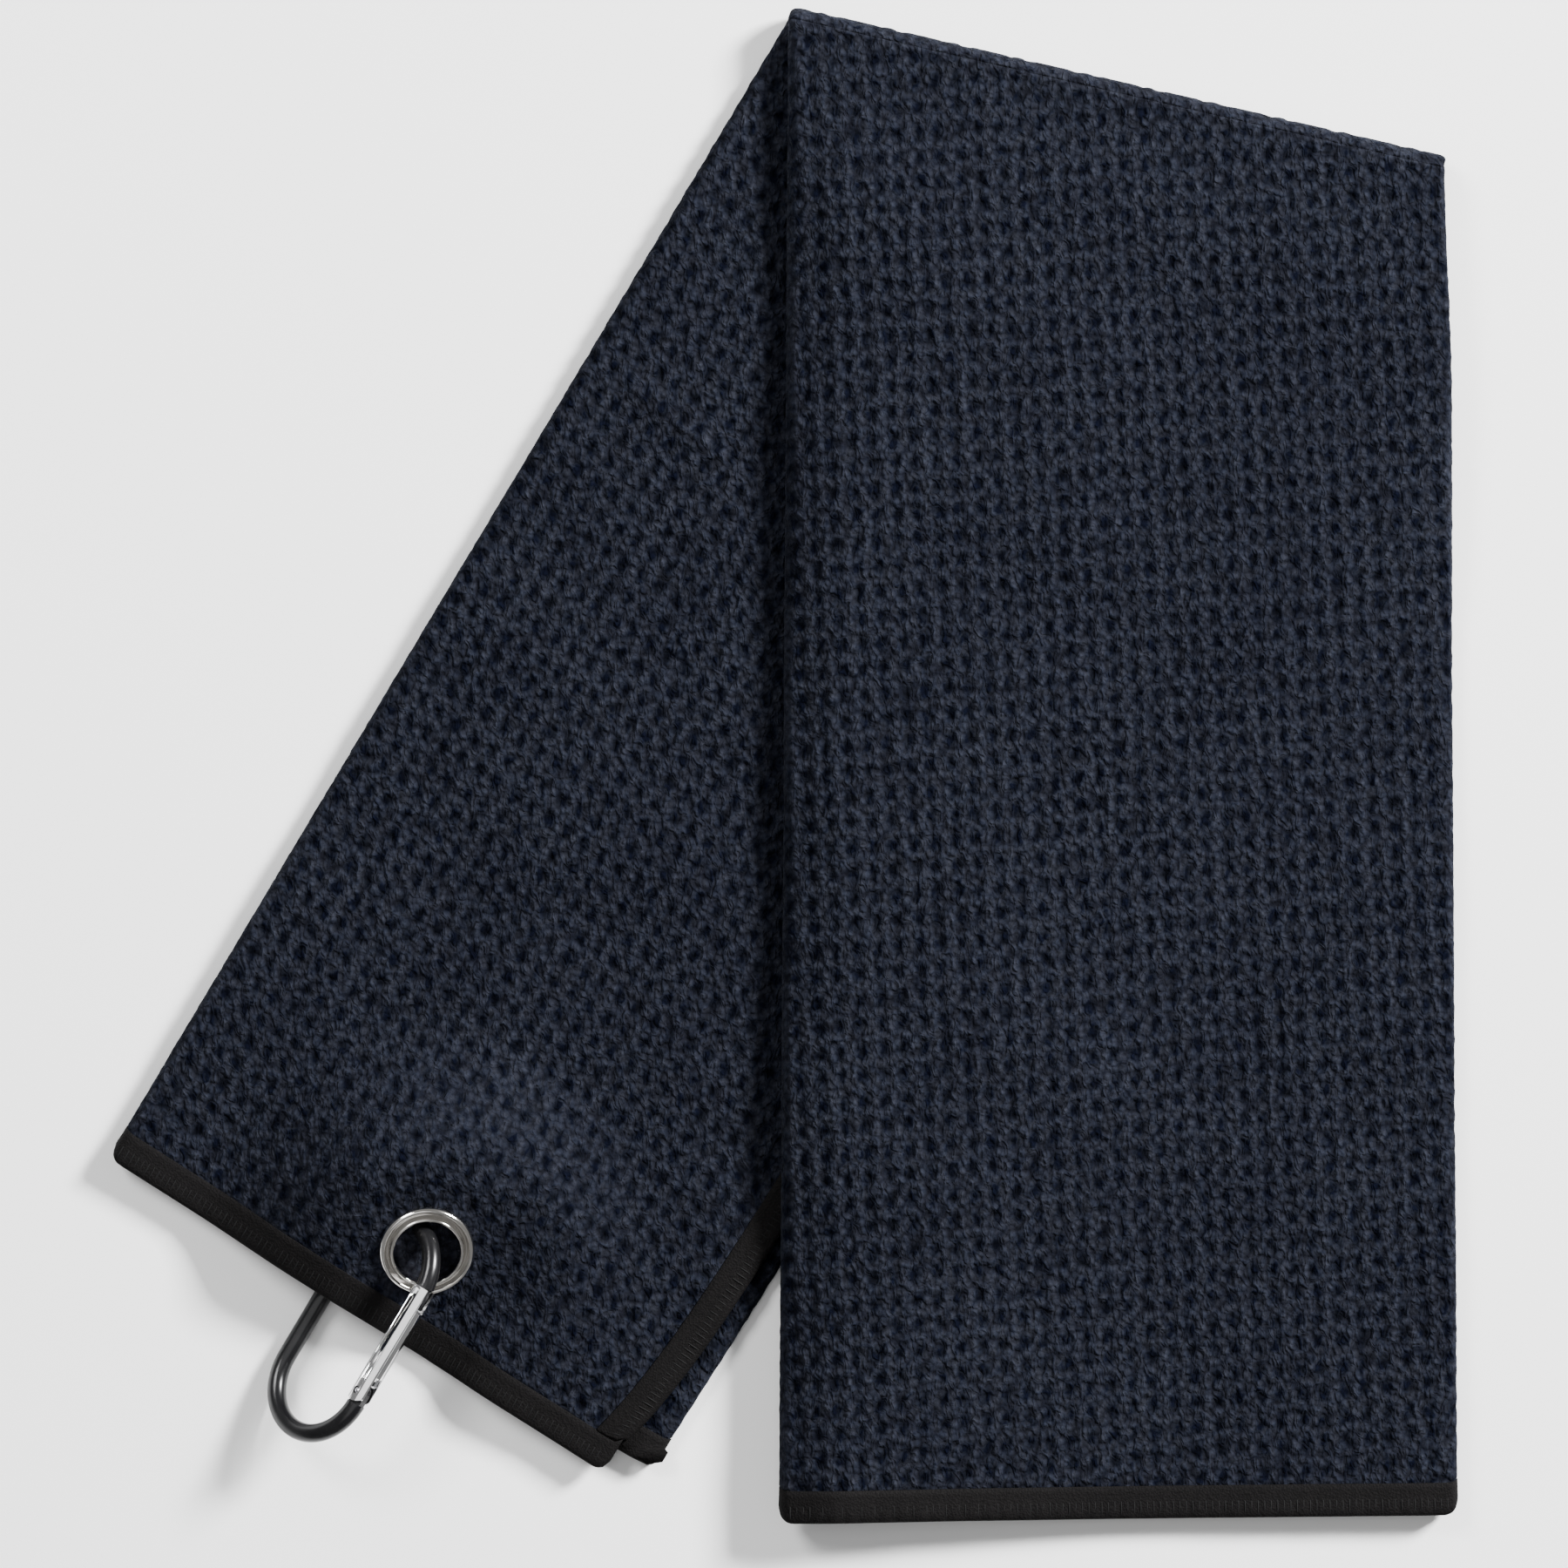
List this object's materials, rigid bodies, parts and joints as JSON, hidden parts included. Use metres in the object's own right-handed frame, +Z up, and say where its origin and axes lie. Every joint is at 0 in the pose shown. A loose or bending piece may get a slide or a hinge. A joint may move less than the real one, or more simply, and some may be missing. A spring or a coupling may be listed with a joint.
{
  "type": "golf towel",
  "caption": "Waffle towel folded in thirds and folded over once, with bound edges, a metal eyelet through the folded end and a spring-gate snap clip to hang it by.",
  "frame": {"origin": "on the table, under the middle of the folded towel's outline", "axes": "+Z up from the table, +Y up the page along the upper panel towards the crease, +X to the right across the upper panel"},
  "size_m": [0.2848, 0.3189, 0.0206],
  "materials": {
    "waffle_cloth": "matt navy waffle weave microfibre",
    "binding_tape": "matt black woven tape, stitched",
    "nickel_plate": "polished nickel plate",
    "black_metal": "black anodised, satin",
    "bright_metal": "polished aluminium",
    "spring_steel": "bright drawn steel"
  },
  "bodies": {
    "back_panel": {"cloth_lower_panel": "waffle_cloth", "hem_binding_lower": "binding_tape", "outer_edge_binding_lower": "binding_tape", "inner_edge_binding_lower": "binding_tape", "eyelet": "nickel_plate", "eyelet_washer": "nickel_plate"},
    "front_panel": {"cloth_upper_panel": "waffle_cloth", "hem_binding_upper": "binding_tape", "outer_edge_binding_upper": "binding_tape", "inner_edge_binding_upper": "binding_tape"},
    "clip": {"clip_body": "black_metal"},
    "clip_gate": {"gate": "bright_metal", "hinge_pin": "spring_steel", "latch_pin": "spring_steel", "gate_spring": "spring_steel", "spring_plunger": "spring_steel"}
  },
  "joints": [
    {"name": "crease_fold", "type": "hinge", "parent": "back_panel", "child": "front_panel", "pos_m": [0.00185, 0.1594, 0.00465], "axis": [-0.9748, 0.2233, 0], "range_deg": [0, 180]},
    {"name": "clip_swing", "type": "hinge", "parent": "back_panel", "child": "clip", "pos_m": [-0.0753, -0.09739, 0.0119], "axis": [0, 0, 1], "range_deg": [-15, 30]},
    {"name": "gate_hinge", "type": "hinge", "parent": "clip", "child": "clip_gate", "pos_m": [-0.08786, -0.131, 0.01755], "axis": [-0.5632, 0.3365, 0.7547], "range_deg": [0, 12], "stiffness_Nm_per_rad": 0.004, "springref_deg": -22.92}
  ]
}
